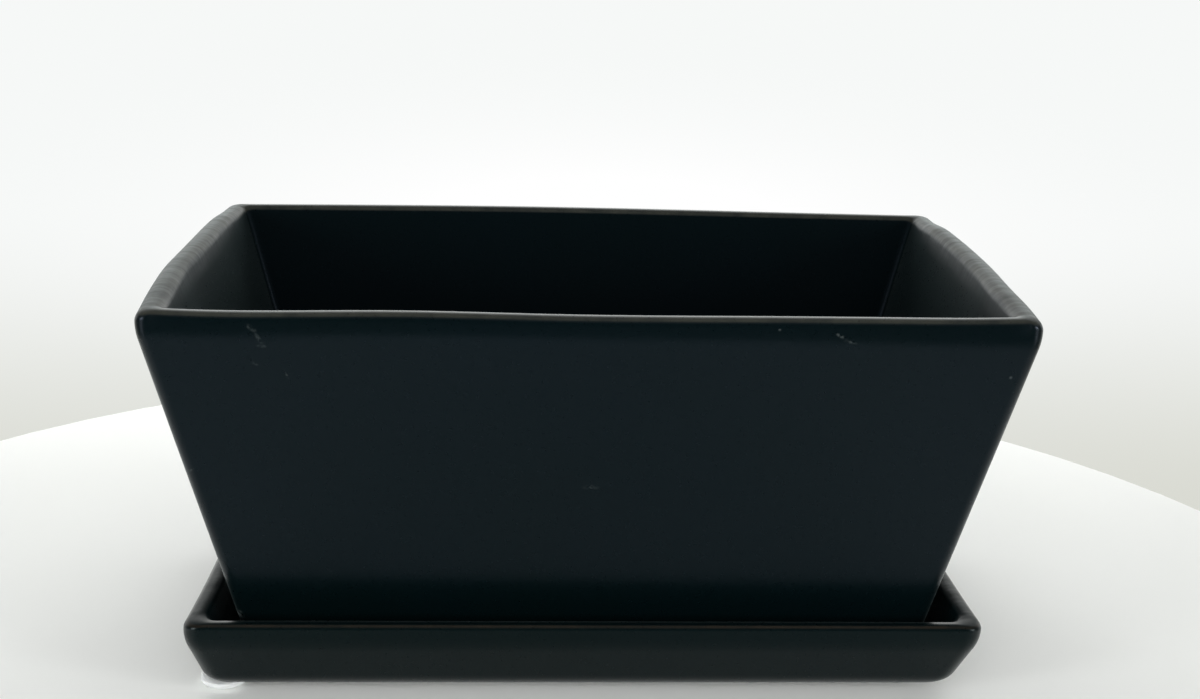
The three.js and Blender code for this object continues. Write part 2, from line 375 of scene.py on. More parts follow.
def plan_ring(along_length, along_width):
    """One ring round a piece: a rounded rectangle, from the right end round by the back."""
    half_x, height_x, radius = along_length
    half_y, height_y, _ = along_width
    centre_x = half_x - radius
    centre_y = half_y - radius
    ring = []
    for quadrant in range(4):
        side_x = 1 if quadrant in (0, 3) else -1
        side_y = 1 if quadrant < 2 else -1
        for step in range(CORNER_STEPS + 1):
            angle = (quadrant + step / CORNER_STEPS) * math.pi / 2
            facing = math.cos(angle) ** 2
            x = side_x * centre_x + radius * math.cos(angle)
            y = side_y * centre_y + radius * math.sin(angle)
            ring.append(Vector((x, y, height_y + (height_x - height_y) * facing)))
        if quadrant % 2 == 0:
            for share in run_shares(2 * centre_x, LONG_STEPS):
                ring.append(Vector((side_x * centre_x * (1 - 2 * share), side_y * half_y, height_y)))
        else:
            for share in run_shares(2 * centre_y, SHORT_STEPS):
                ring.append(Vector((side_x * half_x, side_y * centre_y * (1 - 2 * share), height_x)))
    return ring


def new_piece(name, points, faces):
    """A smooth-shaded mesh object in the scene."""
    mesh = bpy.data.meshes.new(name)
    mesh.from_pydata(points, [], faces)
    mesh.shade_smooth()
    piece = bpy.data.objects.new(name, mesh)
    bpy.context.scene.collection.objects.link(piece)
    return piece


def skin(name, rings):
    """A closed body through rings, from its underside round the lip to the middle of its floor."""
    count = len(rings[0])
    faces = [list(reversed(range(count)))]
    for ring in range(len(rings) - 1):
        for step in range(count):
            low = ring * count + step
            low_next = ring * count + (step + 1) % count
            faces.append([low, low_next, low_next + count, low + count])
    last = (len(rings) - 1) * count
    faces.append(list(range(last, last + count)))
    return new_piece(name, [point for ring in rings for point in ring], faces)


def turned(name, profile, centre):
    """A closed body turned round an upright axis from (radius, height) points that end on the axis."""
    points = [centre + Vector((0, 0, profile[0][1]))]
    for radius, height in profile[1:-1]:
        for step in range(TURN_STEPS):
            angle = 2 * math.pi * step / TURN_STEPS
            points.append(centre + Vector((radius * math.cos(angle), radius * math.sin(angle), height)))
    points.append(centre + Vector((0, 0, profile[-1][1])))
    faces = []
    rings = len(profile) - 2
    for step in range(TURN_STEPS):
        following = (step + 1) % TURN_STEPS
        faces.append([0, 1 + following, 1 + step])
        for ring in range(rings - 1):
            low = 1 + ring * TURN_STEPS
            high = low + TURN_STEPS
            faces.append([low + step, low + following, high + following, high + step])
        top = 1 + (rings - 1) * TURN_STEPS
        faces.append([top + step, top + following, len(points) - 1])
    return new_piece(name, points, faces)


def quarter_round(centre, radius, start):
    """Points round a quarter turn, anticlockwise from the start angle in degrees, for a turned profile."""
    points = []
    for step in range(ARC_STEPS + 1):
        angle = math.radians(start + 90 * step / ARC_STEPS)
        points.append((centre[0] + radius * math.cos(angle), centre[1] + radius * math.sin(angle)))
    return points


def cut(piece, cutters):
    """Cuts the cutters out of a piece for good and removes them."""
    for cutter in cutters:
        modifier = piece.modifiers.new("cut", "BOOLEAN")
        modifier.operation = "DIFFERENCE"
        modifier.solver = "EXACT"
        modifier.object = cutter
    graph = bpy.context.evaluated_depsgraph_get()
    mesh = bpy.data.meshes.new_from_object(piece.evaluated_get(graph), depsgraph=graph)
    piece.modifiers.clear()
    whole = piece.data
    piece.data = mesh
    mesh.name = piece.name
    bpy.data.meshes.remove(whole)
    for cutter in cutters:
        bpy.data.objects.remove(cutter)
    mesh.shade_smooth()
    mesh.set_sharp_from_angle(angle=SHARP_ANGLE)


def mark(piece, name, value_at):
    """Stores a number on each point of a piece for its material, worked out from its place and facing."""
    mesh = piece.data
    attribute = mesh.attributes.new(name, "FLOAT", "POINT")
    attribute.data.foreach_set("value", [value_at(vertex.co, vertex.normal) for vertex in mesh.vertices])


def seat(piece, nodes, body):
    """Puts a piece in the place of CAD nodes and on their body."""
    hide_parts(*nodes)
    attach(piece, body)


def round_reach(lean):
    """Length along either face that a round of unit radius takes up where a wall leans by this much."""
    return 1 / math.tan((math.pi / 2 + math.atan(lean)) / 2)


def lip_radius(width, flat, bias, outer_lean, inner_lean):
    """Radius of a lip's inner round: its two rounds share the width, less the flat between them."""
    return (width - flat) / (bias * round_reach(-outer_lean) + round_reach(inner_lean))


def add(tree, kind, inputs=None, **settings):
    """Adds a node with its settings, and links or sets its inputs."""
    node = tree.nodes.new(kind)
    for name, value in settings.items():
        setattr(node, name, value)
    for socket, value in (inputs or {}).items():
        if isinstance(value, bpy.types.NodeSocket):
            tree.links.new(value, node.inputs[socket])
        else:
            node.inputs[socket].default_value = value
    return node


def new_material(name):
    """An empty node material, its tree and the tree's output node."""
    material = bpy.data.materials.new(name)
    material.use_nodes = True
    material.node_tree.nodes.clear()
    output = add(material.node_tree, "ShaderNodeOutputMaterial")
    return material, material.node_tree, output


def opaque(rgb):
    """A colour property as the four numbers that a node's socket takes."""
    return (*rgb, 1.0)


def satin_black_glaze(name, finish, gloss, thin_glaze_and_reflection, sheen_weight, scuffs):
    """Black stoneware glaze, sprayed and fired to a satin.

    The eye sees a deep blue-green black with a broad soft sheen, a fine orange-peel grain, a browner tone
    where the glaze thins on the tray's edges, a paler tone on the pot's lip that is partly thin glaze and
    partly a painted reflection of the light above, and pale rubbed marks.
    """
    material, tree, output = new_material(name)
    place = add(tree, "ShaderNodeTexCoord").outputs["Object"]

    # Body: glaze thickness drifts over a hand's breadth
    cloud = add(tree, "ShaderNodeTexNoise", {"Vector": place, "Scale": per_mm(48), "Detail": 2.0})
    drift = add(
        tree,
        "ShaderNodeMapRange",
        {"Value": cloud.outputs["Fac"], "From Min": 0.35, "From Max": 0.65},
    )
    body = add(
        tree,
        "ShaderNodeMix",
        {0: drift.outputs[0], 6: opaque(finish.glaze), 7: opaque(finish.glaze_cool)},
        data_type="RGBA",
    )

    # Edges: the glaze runs thin and breaks in patches a few millimetres long;
    # on the pot's lip this paler tone is partly a painted reflection of the light above
    edge = add(tree, "ShaderNodeAttribute", attribute_name="edge").outputs["Fac"]
    patch = add(tree, "ShaderNodeTexNoise", {"Vector": place, "Scale": per_mm(5), "Detail": 3.0})
    broken = add(
        tree,
        "ShaderNodeMapRange",
        {"Value": patch.outputs["Fac"], "From Min": 0.3, "From Max": 0.6, "To Min": 0.5},
    )
    thin = add(tree, "ShaderNodeMath", {0: edge, 1: broken.outputs[0]}, operation="MULTIPLY")
    body = add(
        tree,
        "ShaderNodeMix",
        {0: thin.outputs[0], 6: body.outputs[2], 7: opaque(thin_glaze_and_reflection)},
        data_type="RGBA",
    )

    # Scuffs: soft ellipses on the front face, broken up into streaks under a millimetre wide
    rubbed = None
    for x, z, half_length, half_width, tilt, strength in scuffs:
        spot = add(
            tree,
            "ShaderNodeMapping",
            {
                "Vector": place,
                "Location": (x * MM, front_face_at(z * MM), z * MM),
                "Rotation": (0, math.radians(-tilt), 0),
                "Scale": (half_length * MM, SCUFF_DEPTH, half_width * MM),
            },
            vector_type="TEXTURE",
        )
        soft = add(tree, "ShaderNodeTexGradient", {"Vector": spot.outputs[0]}, gradient_type="SPHERICAL")
        soft = add(tree, "ShaderNodeMath", {0: soft.outputs["Fac"], 1: strength}, operation="MULTIPLY")
        if rubbed:
            soft = add(
                tree,
                "ShaderNodeMath",
                {0: soft.outputs[0], 1: rubbed.outputs[0]},
                operation="MAXIMUM",
            )
        rubbed = soft
    streak = add(tree, "ShaderNodeTexNoise", {"Vector": place, "Scale": per_mm(0.9), "Detail": 3.0})
    streaks = add(
        tree,
        "ShaderNodeMapRange",
        {"Value": streak.outputs["Fac"], "From Min": 0.42, "From Max": 0.62},
    )
    rubbed = add(
        tree,
        "ShaderNodeMath",
        {0: rubbed.outputs[0], 1: streaks.outputs[0]},
        operation="MULTIPLY",
    )
    body = add(
        tree,
        "ShaderNodeMix",
        {0: rubbed.outputs[0], 6: body.outputs[2], 7: opaque(finish.scuff)},
        data_type="RGBA",
    )

    # Grain: an orange peel of about 0.3 mm, drawn at 0.9 mm so that it shows
    grain = add(tree, "ShaderNodeTexNoise", {"Vector": place, "Scale": per_mm(0.9), "Detail": 2.0})
    sheen = add(
        tree,
        "ShaderNodeMapRange",
        {"Value": grain.outputs["Fac"], "From Min": 0.3, "From Max": 0.7, "To Min": 0.27, "To Max": 0.31},
    )
    peel = add(
        tree, "ShaderNodeBump", {"Height": grain.outputs["Fac"], "Strength": 0.08, "Distance": 0.05 * MM}
    )

    # Sponge marks: the short rims are drier, with ripples across them a few millimetres apart
    rim = add(tree, "ShaderNodeAttribute", attribute_name="rim").outputs["Fac"]
    dry = add(tree, "ShaderNodeMath", {0: rim, 1: 0.22}, operation="MULTIPLY")
    sheen = add(tree, "ShaderNodeMath", {0: sheen.outputs[0], 1: dry.outputs[0]}, operation="ADD")
    drawn = add(tree, "ShaderNodeMapping", {"Vector": place, "Scale": (0.25, 1.0, 0.25)})
    ripple = add(
        tree,
        "ShaderNodeTexNoise",
        {"Vector": drawn.outputs[0], "Scale": per_mm(5), "Detail": 2.0},
    )
    ripple = add(tree, "ShaderNodeMath", {0: ripple.outputs["Fac"], 1: 0.5}, operation="SUBTRACT")
    ripple = add(tree, "ShaderNodeMath", {0: ripple.outputs[0], 1: rim}, operation="MULTIPLY")
    sponged = add(
        tree,
        "ShaderNodeBump",
        {"Height": ripple.outputs[0], "Strength": 0.6, "Distance": 0.6 * MM, "Normal": peel.outputs[0]},
    )

    shader = add(
        tree,
        "ShaderNodeBsdfPrincipled",
        {
            "Base Color": body.outputs[2],
            "Roughness": sheen.outputs[0],
            "IOR": 1.5,
            "Specular Tint": opaque(gloss),
            "Sheen Weight": sheen_weight,
            "Sheen Roughness": 0.3,
            "Sheen Tint": opaque(finish.sheen),
            "Normal": sponged.outputs[0],
        },
    )
    tree.links.new(shader.outputs[0], output.inputs["Surface"])
    return material


def front_face_at(height):
    """Y of the front face at a height above the table, close enough to place a scuff's mask."""
    sizes = bpy.context.scene.bonsai_pot
    share = (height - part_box("pot")[0].z) / sizes.height
    return -(sizes.base_width + (sizes.top_width - sizes.base_width) * share) / 2


def bare_stoneware(finish):
    """Fired stoneware clay where the glaze was wiped off before firing: dry, gritty and a warm buff."""
    material, tree, output = new_material("bare_stoneware")
    place = add(tree, "ShaderNodeTexCoord").outputs["Object"]
    grit = add(tree, "ShaderNodeTexNoise", {"Vector": place, "Scale": per_mm(0.8), "Detail": 4.0})
    dark_clay = [part * 0.6 for part in finish.clay]
    tone = add(
        tree,
        "ShaderNodeMix",
        {0: grit.outputs["Fac"], 6: opaque(finish.clay), 7: opaque(dark_clay)},
        data_type="RGBA",
    )
    bump = add(
        tree,
        "ShaderNodeBump",
        {"Height": grit.outputs["Fac"], "Strength": 0.6, "Distance": 0.15 * MM},
    )
    shader = add(
        tree,
        "ShaderNodeBsdfPrincipled",
        {"Base Color": tone.outputs[2], "Roughness": 0.9, "IOR": 1.5, "Normal": bump.outputs[0]},
    )
    tree.links.new(shader.outputs[0], output.inputs["Surface"])
    return material


def translucent_silicone(finish):
    """Moulded silicone rubber of a pad: milky, letting light in a little way, with a soft skin sheen."""
    material, tree, output = new_material("translucent_silicone")
    place = add(tree, "ShaderNodeTexCoord").outputs["Object"]
    skin_noise = add(tree, "ShaderNodeTexNoise", {"Vector": place, "Scale": per_mm(1.2), "Detail": 2.0})
    sheen = add(
        tree, "ShaderNodeMapRange", {"Value": skin_noise.outputs["Fac"], "To Min": 0.3, "To Max": 0.45}
    )
    shader = add(
        tree,
        "ShaderNodeBsdfPrincipled",
        {
            "Base Color": opaque(finish.silicone),
            "Roughness": sheen.outputs[0],
            "IOR": 1.41,
            "Subsurface Weight": 1.0,
            "Subsurface Radius": (1.0, 1.0, 1.0),
            "Subsurface Scale": 1.8 * MM,
        },
    )
    tree.links.new(shader.outputs[0], output.inputs["Surface"])
    return material


def matt_white_table(stage):
    """White laminate of a table top: matt, almost plain, with a faint unevenness in its sheen."""
    material, tree, output = new_material("matt_white_laminate")
    place = add(tree, "ShaderNodeTexCoord").outputs["Object"]
    smear = add(tree, "ShaderNodeTexNoise", {"Vector": place, "Scale": per_mm(60), "Detail": 2.0})
    sheen = add(tree, "ShaderNodeMapRange", {"Value": smear.outputs["Fac"], "To Min": 0.5, "To Max": 0.65})
    shader = add(
        tree,
        "ShaderNodeBsdfPrincipled",
        {"Base Color": opaque(stage.table), "Roughness": sheen.outputs[0], "IOR": 1.45},
    )
    tree.links.new(shader.outputs[0], output.inputs["Surface"])
    return material


def white_wall(stage):
    """Painted wall behind the table, shown as bright as it is written.

    The eye sees it a little darker towards the table, which is painted shade, with a painted soft patch of
    light behind the pot.
    """
    material, tree, output = new_material("painted_wall")
    place = add(tree, "ShaderNodeTexCoord").outputs["Object"]
    height = add(tree, "ShaderNodeSeparateXYZ", {0: place})
    rise = add(
        tree,
        "ShaderNodeMapRange",
        {"Value": height.outputs["Z"], "From Min": WALL_DARK_HEIGHT, "From Max": WALL_LIGHT_HEIGHT},
        interpolation_type="SMOOTHSTEP",
    )
    # Painted shade: the wall's tone darkens towards the table
    tone = add(
        tree,
        "ShaderNodeMix",
        {0: rise.outputs[0], 6: opaque(stage.wall_low), 7: opaque(stage.wall_high)},
        data_type="RGBA",
    )
    # Painted light: a soft patch of light on the wall behind the pot
    spot = add(
        tree,
        "ShaderNodeMapping",
        {"Vector": place, "Location": GLOW_PLACE, "Scale": GLOW_EXTENT},
        vector_type="TEXTURE",
    )
    glow = add(
        tree, "ShaderNodeTexGradient", {"Vector": spot.outputs[0]}, gradient_type="QUADRATIC_SPHERE"
    )
    glow = add(tree, "ShaderNodeMapRange", {"Value": glow.outputs["Fac"], "From Max": GLOW_FULL})
    tone = add(
        tree,
        "ShaderNodeMix",
        {0: glow.outputs[0], 6: tone.outputs[2], 7: WHITE},
        data_type="RGBA",
    )
    shown = add(tree, "ShaderNodeEmission", {"Color": tone.outputs[2]})
    paint = add(tree, "ShaderNodeBsdfDiffuse", {"Color": opaque(stage.wall_high)})
    seen = seen_by_eye(tree)
    mix = add(tree, "ShaderNodeMixShader", {0: seen, 1: paint.outputs[0], 2: shown.outputs[0]})
    tree.links.new(mix.outputs[0], output.inputs["Surface"])
    return material


def seen_by_eye(tree):
    """1 for rays that the camera, a gloss or a clear piece sends out, 0 for those that carry light."""
    path = add(tree, "ShaderNodeLightPath")
    glossy = add(
        tree,
        "ShaderNodeMath",
        {0: path.outputs["Is Glossy Ray"], 1: path.outputs["Is Transmission Ray"]},
        operation="MAXIMUM",
    )
    seen = add(
        tree,
        "ShaderNodeMath",
        {0: path.outputs["Is Camera Ray"], 1: glossy.outputs[0]},
        operation="MAXIMUM",
    )
    return seen.outputs[0]


class BONSAI_OT_make_pot(bpy.types.Operator):
    """Makes the pot: leaning walls, bowed short ends, a round lip, a foot ring and drain holes"""

    bl_idname = "bonsai.make_pot"
    bl_label = "Make Pot"

    def execute(self, context):
        sizes = context.scene.bonsai_pot
        finish = context.scene.bonsai_finish
        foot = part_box("pot")[0].z
        along_length = self.section(
            sizes, sizes.base_length / 2, sizes.top_length / 2, sizes.end_lip_wall, sizes.end_lip_bias
        )
        along_width = self.section(
            sizes, sizes.base_width / 2, sizes.top_width / 2, sizes.side_lip_wall, sizes.side_lip_bias
        )
        rings = [plan_ring(*pair) for pair in zip(along_length, along_width)]
        crest = max(range(len(along_length)), key=lambda index: along_length[index][1])
        for index, ring in enumerate(rings):
            for point in ring:
                self.hand_finish(sizes, point, index > crest)
                point.z += foot
        pot = skin("pot_shell", rings)
        cut(pot, self.cutters(sizes, foot))
        # The edge mark lays the paler lip tone: thin glaze and a painted reflection of the light above
        mark(pot, "edge", lambda place, facing: self.edge(sizes, place, facing, foot))
        mark(pot, "rim", lambda place, facing: self.rim(sizes, place, facing, foot))
        glaze = satin_black_glaze(
            "satin_black_glaze",
            finish,
            finish.gloss,
            finish.rim_glaze_and_reflection,
            finish.pot_sheen_weight,
            POT_SCUFFS,
        )
        pot.data.materials.append(glaze)
        pot.data.materials.append(bare_stoneware(finish))
        for face in pot.data.polygons:
            if face.center.z < foot + BARE_STRIP:
                face.material_index = 1
        seat(pot, ["pot"], "pot")
        return {"FINISHED"}

    def section(self, sizes, base, top, lip_wall, lip_bias):
        """The wall's section in one direction, from the underside round the lip to the cavity floor."""
        cavity = base - sizes.foot_wall
        ring = base - sizes.foot_width
        inner_lean = (top - lip_wall - cavity) / (sizes.height - sizes.floor)
        lip = lip_radius(lip_wall, sizes.lip_flat, lip_bias, 0.0, inner_lean)
        soft = 0.3 * sizes.foot_edge
        corners = (
            (ring - 4 * soft, sizes.foot_recess, 0, sizes.inner_corner),
            (ring, sizes.foot_recess, soft, sizes.inner_corner),
            (ring, 0, soft, sizes.inner_corner),
            (base, 0, sizes.foot_edge, sizes.corner),
            (top, sizes.height - sizes.shoulder_drop, sizes.shoulder_round, sizes.corner),
            (top, sizes.height, lip_bias * lip, sizes.corner),
            (top - lip_wall, sizes.height, lip, sizes.inner_corner),
            (cavity, sizes.floor, sizes.inner_fillet, sizes.inner_corner),
            (cavity - sizes.inner_fillet, sizes.floor, 0, sizes.inner_corner),
        )
        return wall_section(corners, POT_RUNS)

    def hand_finish(self, sizes, point, inside):
        """Bows the short walls and gives the rim its hand-made dents and wandering inner edge."""
        rise = max(point.z, 0) / sizes.height
        half_x = (sizes.base_length + (sizes.top_length - sizes.base_length) * rise) / 2
        half_y = (sizes.base_width + (sizes.top_width - sizes.base_width) * rise) / 2
        across = point.x / half_x
        deep = point.y / half_y
        bow = max(1 - deep * deep, 0) * rise
        shift_out = {"left": 0.0, "right": 0.0, "front": 0.0, "back": 0.0}
        lift = sizes.end_rise * bow * smooth(*END_REACH, abs(across))
        weights = {
            "left": smooth(*SHORT_WALL_REACH, -across),
            "right": smooth(*SHORT_WALL_REACH, across),
            "front": smooth(*LONG_WALL_REACH, -deep),
            "back": smooth(*LONG_WALL_REACH, deep),
        }
        fade = rise * rise
        for wall, place, spread, outwards, upwards in RIM_FINISH:
            along = point.y if wall in ("left", "right") else point.x
            share = math.exp(-(((along - place * MM) / (spread * MM)) ** 2)) * weights[wall] * fade
            shift_out[wall] += outwards * MM * share
            lift += upwards * MM * share
        if inside:
            spot = Vector((point.x / LIP_WAVE_ACROSS, point.y / LIP_WAVE_LENGTH, LIP_WAVE_LAYER))
            wander = noise.noise(spot)
            for wall, sign in (("left", -1), ("right", 1)):
                if across * sign > 0:
                    shift_out[wall] += LIP_WAVE * wander * weights[wall] * fade**4
        point.x += math.copysign(sizes.end_bulge * bow, point.x) * smooth(*BOW_REACH, abs(across))
        point.x += shift_out["right"] - shift_out["left"]
        point.y += shift_out["back"] - shift_out["front"]
        point.z += lift

    def cutters(self, sizes, foot):
        """Two soft-edged drain holes, and two bars that open the foot ring in the middle of its sides."""
        cutters = []
        radius = sizes.drain / 2
        soft = sizes.drain_round
        clear = 0.05 * MM
        low = sizes.foot_recess
        high = sizes.floor
        profile = [(0, low - OVERRUN), (radius + soft, low - OVERRUN)]
        profile += [
            (radius + soft * (1 - math.cos(angle)), low + soft * (1 - math.sin(angle)) - clear)
            for angle in (math.radians(90 - 90 * step / ARC_STEPS) for step in range(ARC_STEPS + 1))
        ]
        profile += [
            (radius + soft * (1 - math.cos(angle)), high - soft * (1 - math.sin(angle)) + clear)
            for angle in (math.radians(90 * step / ARC_STEPS) for step in range(ARC_STEPS + 1))
        ]
        profile += [(radius + soft, high + OVERRUN), (0, high + OVERRUN)]
        for side in (-1, 1):
            cutters.append(turned("drain", profile, Vector((side * sizes.drain_spacing / 2, 0, foot))))
        for length, across in ((sizes.base_length, 0), (sizes.base_width, 1)):
            cutters.append(self.slot_bar(sizes, length + 4 * OVERRUN, across, foot))
        return cutters

    def slot_bar(self, sizes, length, across, foot):
        """A bar with a round-cornered section, along X or across it."""
        half = sizes.slot_width / 2
        soft = 0.6 * sizes.slot_height
        outline = [(half, -OVERRUN)]
        outline += quarter_round((half - soft, sizes.slot_height - soft), soft, 0)
        outline += quarter_round((soft - half, sizes.slot_height - soft), soft, 90)
        outline += [(-half, -OVERRUN)]
        count = len(outline)
        points = []
        for end in (-length / 2, length / 2):
            for place, height in outline:
                points.append((place, end, height + foot) if across else (end, -place, height + foot))
        faces = [list(range(count)), list(reversed(range(count, 2 * count)))]
        for step in range(count):
            following = (step + 1) % count
            faces.append([step, step + count, following + count, following])
        return new_piece("slot", points, faces)

    def edge(self, sizes, place, facing, foot):
        """1 on the lip's crest, where glaze thins and painted reflection lies, fading to 0 as the lip turns
        down.
        """
        level = THIN_AND_REFLECTION_OUTSIDE if facing.y * place.y > 0 else THIN_AND_REFLECTION_INSIDE
        high = smooth(sizes.height - THIN_AND_REFLECTION_DEPTHS[0], sizes.height - THIN_AND_REFLECTION_DEPTHS[1], place.z - foot)
        return smooth(level, level + THIN_AND_REFLECTION_SPREAD, facing.z) * high

    def rim(self, sizes, place, facing, foot):
        """1 on top of the short rims, where the sponge marks are."""
        high = smooth(sizes.height - SPONGE_DEPTHS[0], sizes.height - SPONGE_DEPTHS[1], place.z - foot)
        if facing.x * place.x > 0:
            high *= smooth(*SPONGE_LEVELS, facing.z)
        inner = sizes.top_length / 2 - sizes.end_lip_wall
        return high * smooth(inner - SPONGE_MARGINS[0], inner + SPONGE_MARGINS[1], abs(place.x))


class BONSAI_OT_make_tray(bpy.types.Operator):
    """Makes the drip tray: a shallow dish with flared walls, a thin round lip and a soft underside edge"""

    bl_idname = "bonsai.make_tray"
    bl_label = "Make Tray"

    def execute(self, context):
        sizes = context.scene.bonsai_tray
        pot = context.scene.bonsai_pot
        finish = context.scene.bonsai_finish
        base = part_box("tray")[0].z
        along_length = self.section(sizes, pot.base_length / 2 + sizes.end_clearance, sizes.end_lip_bias)
        along_width = self.section(sizes, pot.base_width / 2 + sizes.side_clearance, sizes.side_lip_bias)
        rings = [plan_ring(*pair) for pair in zip(along_length, along_width)]
        turn = Matrix.Rotation(sizes.turn, 3, "Z")
        half_x = max(half for half, _, _ in along_length)
        half_y = max(half for half, _, _ in along_width)
        for ring in rings:
            for point in ring:
                hollow = sizes.end_hollow * (1 - (point.y / half_y) ** 2) * point.z / sizes.height
                point.x -= math.copysign(hollow, point.x) * smooth(*END_REACH, abs(point.x) / half_x)
                point.x -= sizes.skew * (1 - point.z / sizes.height)
                point.rotate(turn)
                point.z += base
        tray = skin("tray_dish", rings)
        tray.data.set_sharp_from_angle(angle=SHARP_ANGLE)
        mark(tray, "edge", self.edge)
        mark(tray, "rim", lambda place, facing: self.rim(place, facing, half_x))
        glaze = satin_black_glaze(
            "satin_black_glaze_tray",
            finish,
            finish.tray_gloss,
            finish.tray_rim_glaze,
            finish.tray_sheen_weight,
            TRAY_SCUFFS,
        )
        tray.data.materials.append(glaze)
        seat(tray, ["tray"], "tray")
        return {"FINISHED"}

    def section(self, sizes, seat_half, lip_bias):
        """The tray's section in one direction, from its underside round the lip to the pot's seat."""
        lean = sizes.flare / sizes.height
        floor = seat_half + sizes.inner_fillet * round_reach(lean)
        top = floor + lean * (sizes.height - sizes.floor) + sizes.lip_wall
        base = top - sizes.flare
        lip = lip_radius(sizes.lip_wall, sizes.lip_flat, lip_bias, 0.0, lean)
        corners = (
            (base - 2 * sizes.bottom_round, 0, 0, sizes.inner_corner),
            (base, 0, sizes.bottom_round, sizes.corner),
            (top, sizes.height - sizes.shoulder_drop, sizes.shoulder_round, sizes.corner),
            (top, sizes.height, lip_bias * lip, sizes.corner),
            (top - sizes.lip_wall, sizes.height, lip, sizes.inner_corner),
            (floor, sizes.floor, sizes.inner_fillet, sizes.inner_corner),
            (floor - 2 * sizes.inner_fillet, sizes.floor, 0, sizes.inner_corner),
        )
        return wall_section(corners, TRAY_RUNS)

    def edge(self, place, facing):
        """1 along the outer turn of the lip, where the glaze runs thin, fading to 0 above and below it."""
        if facing.x * place.x + facing.y * place.y <= 0:
            return 0.0
        return smooth(*TRAY_THIN_BELOW, facing.z) * (1 - smooth(*TRAY_THIN_ABOVE, facing.z))

    def rim(self, place, facing, half_x):
        """1 on top of the lips at the short ends, where the sponge marks are."""
        end = smooth(half_x - TRAY_SPONGE_ENDS[0], half_x - TRAY_SPONGE_ENDS[1], abs(place.x))
        return smooth(*TRAY_SPONGE_LEVELS, facing.z) * end


class BONSAI_OT_make_pads(bpy.types.Operator):
    """Makes the four stick-on pads: round silicone bumpers with a flat contact and a domed side"""

    bl_idname = "bonsai.make_pads"
    bl_label = "Make Pads"

    def execute(self, context):
        sizes = context.scene.bonsai_pads
        silicone = translucent_silicone(context.scene.bonsai_finish)
        for node in PAD_NODES:
            low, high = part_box(node)
            middle = (low + high) / 2
            foot = Vector((middle.x, middle.y, low.z))
            pad = turned(node + "_bumper", self.profile(sizes, low, high), foot)
            pad.data.set_sharp_from_angle(angle=SHARP_ANGLE)
            pad.data.materials.append(silicone)
            seat(pad, [node], "tray")
        return {"FINISHED"}

    def profile(self, sizes, low, high):
        """Half section of a pad: flat contact, dome, upright rim, soft edge and the flat that sticks on."""
        outer = (high.x - low.x) / 2
        height = high.z - low.z
        contact = sizes.contact / 2
        dome = height - sizes.rim
        points = [(0, 0), (contact * 0.5, 0)]
        for step in range(ARC_STEPS + 1):
            angle = math.radians(90 * step / ARC_STEPS)
            points.append((contact + (outer - contact) * math.sin(angle), dome * (1 - math.cos(angle))))
        points += quarter_round((outer - sizes.edge, height - sizes.edge), sizes.edge, 0)
        return points + [(outer * 0.5, height), (0, height)]


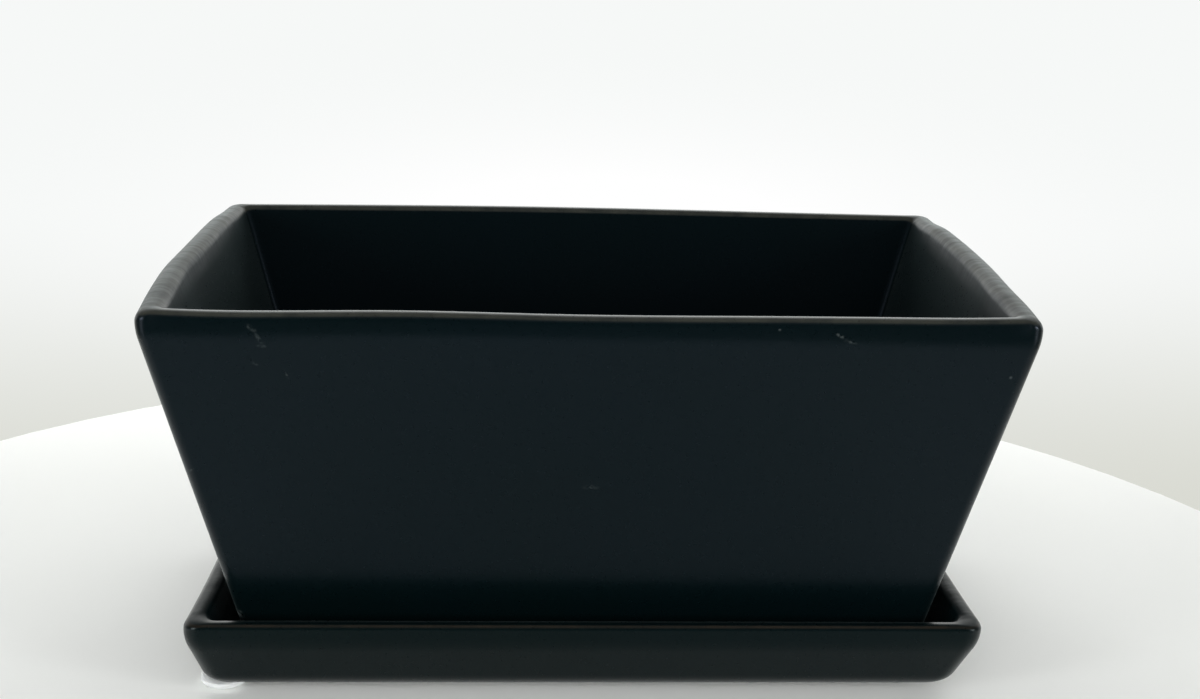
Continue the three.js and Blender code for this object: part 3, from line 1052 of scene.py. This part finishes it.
class BONSAI_OT_make_stage(bpy.types.Operator):
    """Makes the round white table, the wall, the lamps and the camera"""

    bl_idname = "bonsai.make_stage"
    bl_label = "Make Stage"

    TABLE_CENTRE = Vector((-15.9 * MM, -33.6 * MM, 0))
    TABLE_EDGE = 2 * MM
    CAMERA_PLACE = Vector((-14.02 * MM, -406.36 * MM, 195.62 * MM))
    CAMERA_HEADING = -0.04398  # radians, as the next two are
    CAMERA_TILT = 0.29264
    CAMERA_ROLL = 0.02408

    def execute(self, context):
        stage = context.scene.bonsai_stage
        self.make_table(stage)
        self.make_wall(stage)
        for setting, extent, place, target, mirrored in LAMPS:
            light = self.make_lamp(setting, getattr(stage, setting), extent, place, target, mirrored)
            if setting == "back_lamp":
                light.color = stage.back_tint
        self.make_world(context.scene, stage)
        self.make_camera(context.scene, stage)
        context.scene.view_settings.view_transform = "Standard"
        return {"FINISHED"}

    def make_table(self, stage):
        """A round table top with a soft edge, its upper face at the height of the table."""
        edge = self.TABLE_EDGE
        outline = [(0, -stage.table_thick), (stage.table_radius - edge, -stage.table_thick)]
        outline += quarter_round((stage.table_radius - edge, edge - stage.table_thick), edge, 270)
        outline += quarter_round((stage.table_radius - edge, -edge), edge, 0)
        outline += [(stage.table_radius * 0.5, 0), (0, 0)]
        table = turned("table_top", outline, self.TABLE_CENTRE)
        table.data.set_sharp_from_angle(angle=SHARP_ANGLE)
        table.data.materials.append(matt_white_table(stage))

    def make_wall(self, stage):
        """A plain wall well behind the table."""
        points = [
            (-WALL_HALF_WIDTH, WALL_Y, WALL_FOOT),
            (WALL_HALF_WIDTH, WALL_Y, WALL_FOOT),
            (WALL_HALF_WIDTH, WALL_Y, WALL_TOP),
            (-WALL_HALF_WIDTH, WALL_Y, WALL_TOP),
        ]
        wall = new_piece("wall", points, [[0, 1, 2, 3]])
        wall.data.materials.append(white_wall(stage))

    def make_lamp(self, name, watts, extent, place, target, mirrored):
        """A soft box that shines at a target, and shows in the glaze if it is mirrored there."""
        light = bpy.data.lights.new(name, "AREA")
        light.shape = "RECTANGLE"
        light.size, light.size_y = extent
        light.energy = watts
        lamp = bpy.data.objects.new(name, light)
        lamp.location = place
        lamp.rotation_euler = (Vector(target) - Vector(place)).to_track_quat("-Z", "Y").to_euler()
        lamp.visible_camera = False
        lamp.visible_glossy = mirrored
        bpy.context.scene.collection.objects.link(lamp)
        return light

    def make_world(self, scene, stage):
        """White to the eye, and a dim room to everything else."""
        world = bpy.data.worlds.new("room")
        world.use_nodes = True
        tree = world.node_tree
        tree.nodes.clear()
        soft = add(tree, "ShaderNodeBackground", {"Color": WHITE, "Strength": stage.room})
        dim = add(tree, "ShaderNodeBackground", {"Color": WHITE, "Strength": stage.mirrored_room})
        white = add(tree, "ShaderNodeBackground", {"Color": opaque(stage.wall_high)})
        path = add(tree, "ShaderNodeLightPath").outputs
        mix = add(
            tree,
            "ShaderNodeMixShader",
            {0: path["Is Glossy Ray"], 1: soft.outputs[0], 2: dim.outputs[0]},
        )
        mix = add(
            tree,
            "ShaderNodeMixShader",
            {0: path["Is Camera Ray"], 1: mix.outputs[0], 2: white.outputs[0]},
        )
        add(tree, "ShaderNodeOutputWorld", {"Surface": mix.outputs[0]})
        scene.world = world

    def make_camera(self, scene, stage):
        """The photograph's view point."""
        camera = bpy.data.cameras.new("camera")
        camera.sensor_width = 36.0
        camera.sensor_fit = "HORIZONTAL"
        camera.lens = stage.lens
        camera.clip_start = 0.01
        eye = bpy.data.objects.new("camera", camera)
        turn = Matrix.Rotation(self.CAMERA_HEADING, 4, "Z")
        turn = turn @ Matrix.Rotation(math.pi / 2 - self.CAMERA_TILT, 4, "X")
        turn = turn @ Matrix.Rotation(self.CAMERA_ROLL, 4, "Z")
        eye.matrix_world = Matrix.Translation(self.CAMERA_PLACE) @ turn
        scene.collection.objects.link(eye)
        scene.camera = eye


OPERATORS = (BONSAI_OT_make_pot, BONSAI_OT_make_tray, BONSAI_OT_make_pads, BONSAI_OT_make_stage)
GROUPS = {
    "bonsai_pot": BonsaiPotSizes,
    "bonsai_tray": BonsaiTraySizes,
    "bonsai_pads": BonsaiPadSizes,
    "bonsai_finish": BonsaiFinish,
    "bonsai_stage": BonsaiStage,
}


class BONSAI_PT_pieces(bpy.types.Panel):
    """Lists the pieces of the bonsai pot with the sizes and colours that shape them"""

    bl_idname = "BONSAI_PT_pieces"
    bl_label = "Bonsai Pot"
    bl_space_type = "VIEW_3D"
    bl_region_type = "UI"
    bl_category = "Bonsai Pot"

    def draw(self, context):
        for operator in OPERATORS:
            self.layout.operator(operator.bl_idname)
        for name, group in GROUPS.items():
            box = self.layout.box()
            box.label(text=group.__doc__)
            for key in group.__annotations__:
                box.prop(getattr(context.scene, name), key)


CLASSES = (*GROUPS.values(), *OPERATORS, BONSAI_PT_pieces)


def register():
    """Registers the classes and hangs the property groups on the scene."""
    for item in CLASSES:
        bpy.utils.register_class(item)
    for name, group in GROUPS.items():
        setattr(bpy.types.Scene, name, PointerProperty(type=group))


def unregister():
    """Takes the property groups off the scene and unregisters the classes."""
    for name in GROUPS:
        delattr(bpy.types.Scene, name)
    for item in reversed(CLASSES):
        bpy.utils.unregister_class(item)


def main():
    register()
    bpy.ops.bonsai.make_pot()
    bpy.ops.bonsai.make_tray()
    bpy.ops.bonsai.make_pads()
    bpy.ops.bonsai.make_stage()


if __name__ == "__main__":
    main()
